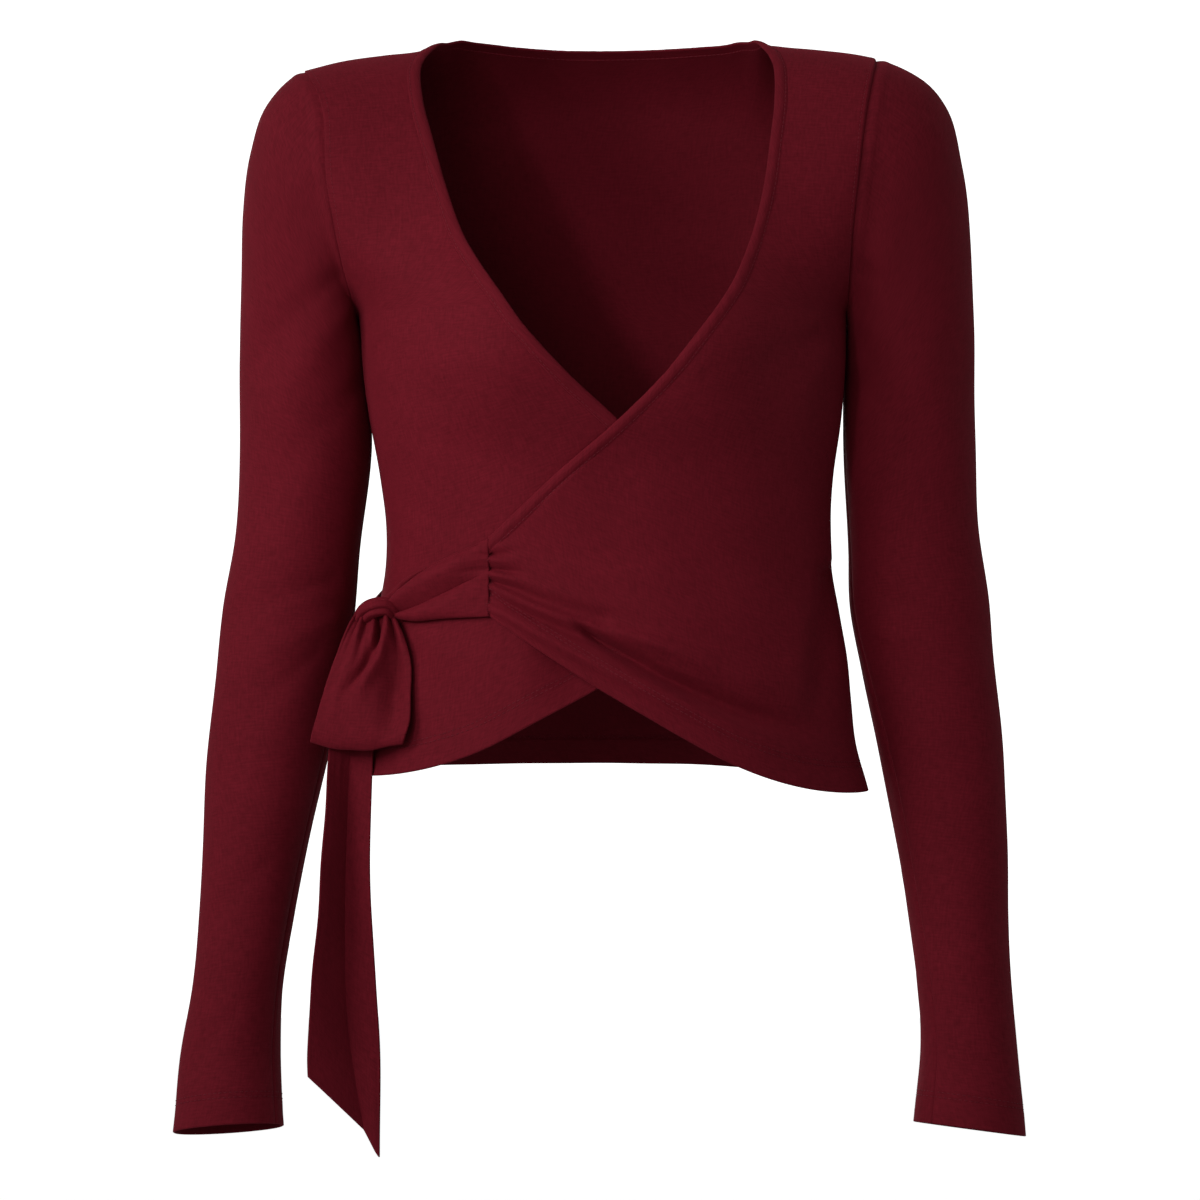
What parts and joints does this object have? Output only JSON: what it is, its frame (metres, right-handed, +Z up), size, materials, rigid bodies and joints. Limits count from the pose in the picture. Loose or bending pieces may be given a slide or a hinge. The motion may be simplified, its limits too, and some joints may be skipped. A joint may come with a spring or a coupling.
{
  "type": "wrap top",
  "caption": "Cropped long-sleeved wrap top in fine jersey, its crossed fronts held by a tie with a half bow at the wearer's right side, hollow as worn.",
  "frame": {"origin": "midway between the shoulders, level with the neck points of the shoulder seams and 5 mm in front of them, where a wearer's shoulders hold the top up", "axes": "+X towards the wearer's left, +Y towards the wearer's back, +Z up"},
  "size_m": [0.4878, 0.2279, 0.6415],
  "materials": {
    "jersey": "fine matt jersey with a soft sheen"
  },
  "bodies": {
    "root": {"front_left": "jersey", "front_right": "jersey", "back_panel": "jersey", "sleeve_left": "jersey", "sleeve_right": "jersey", "neckband": "jersey", "tie_front": "jersey", "tie_back": "jersey", "bow_knot": "jersey", "bow_loop": "jersey", "bow_tail": "jersey"}
  },
  "joints": []
}
